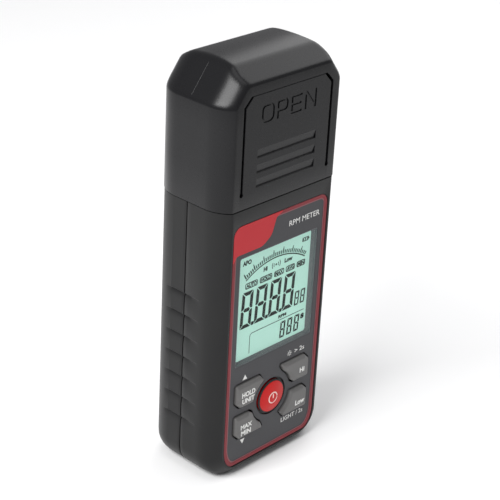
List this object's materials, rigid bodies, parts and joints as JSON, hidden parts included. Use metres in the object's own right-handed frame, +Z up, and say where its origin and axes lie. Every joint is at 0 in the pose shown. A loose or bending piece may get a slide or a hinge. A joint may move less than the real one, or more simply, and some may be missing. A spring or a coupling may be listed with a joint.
{
  "type": "handheld optical tachometer",
  "caption": "Handheld non-contact tachometer: black slide-off cap over an optical head, backlit display, sprung keys, battery door on the back.",
  "frame": {"origin": "middle of the bottom, under the middle of the width and of the depth", "axes": "+Z up along the body to the cap, -Y out of the front panel, +X to the right as seen from the front"},
  "size_m": [0.0606, 0.0376, 0.161],
  "materials": {
    "shell_black": "fine moulded texture",
    "cap_black": "satin moulded",
    "panel_grey": "matt printed film with a red border",
    "clear_window": "clear polycarbonate",
    "frame_grey": "satin moulded",
    "lcd_mint": "backlit liquid crystal display",
    "diffuser_white": "white acrylic light guide",
    "connector_pink": "elastomer strip",
    "silicone_grey": "moulded silicone",
    "key_red": "moulded silicone",
    "key_grey": "moulded silicone",
    "board_green": "solder mask on fibreglass",
    "chip_black": "moulded epoxy",
    "window_red": "red filter acrylic",
    "holder_black": "matt moulded",
    "laser_brass": "turned",
    "lens_clear": "polished",
    "flex_amber": "polyimide film",
    "screw_steel": "zinc plated",
    "cell_jacket": "printed jacket",
    "contact_nickel": "nickel plated"
  },
  "bodies": {
    "body": {"front_housing": "shell_black", "rear_housing": "shell_black", "front_panel": "panel_grey", "display_window": "clear_window", "lcd_frame": "frame_grey", "lcd_glass": "lcd_mint", "backlight_panel": "diffuser_white", "lcd_connector": "connector_pink", "keypad_mat": "silicone_grey", "main_board": "board_green", "microcontroller": "chip_black", "board_parts": "chip_black", "buzzer": "chip_black", "optical_window": "window_red", "lens_holder": "holder_black", "laser_module": "laser_brass", "laser_lens": "lens_clear", "receiver_lens": "lens_clear", "photodiode": "chip_black", "sensor_board": "board_green", "sensor_flex": "flex_amber", "battery_cell_1": "cell_jacket", "battery_cell_2": "cell_jacket", "battery_cell_3": "cell_jacket", "contact_springs": "contact_nickel", "contact_plates": "contact_nickel", "housing_screws": "screw_steel"},
    "cap": {"cap": "cap_black"},
    "cap_tongue": {"cap_tongue": "cap_black"},
    "battery_door": {"battery_door": "shell_black"},
    "battery_screw": {"battery_screw": "screw_steel"},
    "power_key": {"power_key": "key_red"},
    "hold_key": {"hold_key": "key_grey"},
    "max_min_key": {"max_min_key": "key_grey"},
    "hi_key": {"hi_key": "key_grey"},
    "low_key": {"low_key": "key_grey"}
  },
  "joints": [
    {"name": "cap_slide", "type": "slide", "parent": "body", "child": "cap", "axis": [0, 0, 1], "range_m": [0, 0.05]},
    {"name": "tongue_press", "type": "hinge", "parent": "cap", "child": "cap_tongue", "pos_m": [0, -0.01675, 0.1164], "axis": [-1, 0, 0], "range_deg": [0, 2.2], "stiffness_Nm_per_rad": 1.8},
    {"name": "battery_door_lift", "type": "slide", "parent": "body", "child": "battery_door", "axis": [0, 1, 0], "range_m": [0, 0.025]},
    {"name": "battery_screw_turn", "type": "hinge", "parent": "battery_door", "child": "battery_screw", "pos_m": [0, 0.018, 0.067], "axis": [0, 1, 0], "continuous": true},
    {"name": "power_key_press", "type": "slide", "parent": "body", "child": "power_key", "axis": [0, 1, 0], "range_m": [0, 0.0008], "stiffness_N_per_m": 400},
    {"name": "hold_key_press", "type": "slide", "parent": "body", "child": "hold_key", "axis": [0, 1, 0], "range_m": [0, 0.0008], "stiffness_N_per_m": 400},
    {"name": "max_min_key_press", "type": "slide", "parent": "body", "child": "max_min_key", "axis": [0, 1, 0], "range_m": [0, 0.0008], "stiffness_N_per_m": 400},
    {"name": "hi_key_press", "type": "slide", "parent": "body", "child": "hi_key", "axis": [0, 1, 0], "range_m": [0, 0.0008], "stiffness_N_per_m": 400},
    {"name": "low_key_press", "type": "slide", "parent": "body", "child": "low_key", "axis": [0, 1, 0], "range_m": [0, 0.0008], "stiffness_N_per_m": 400}
  ]
}
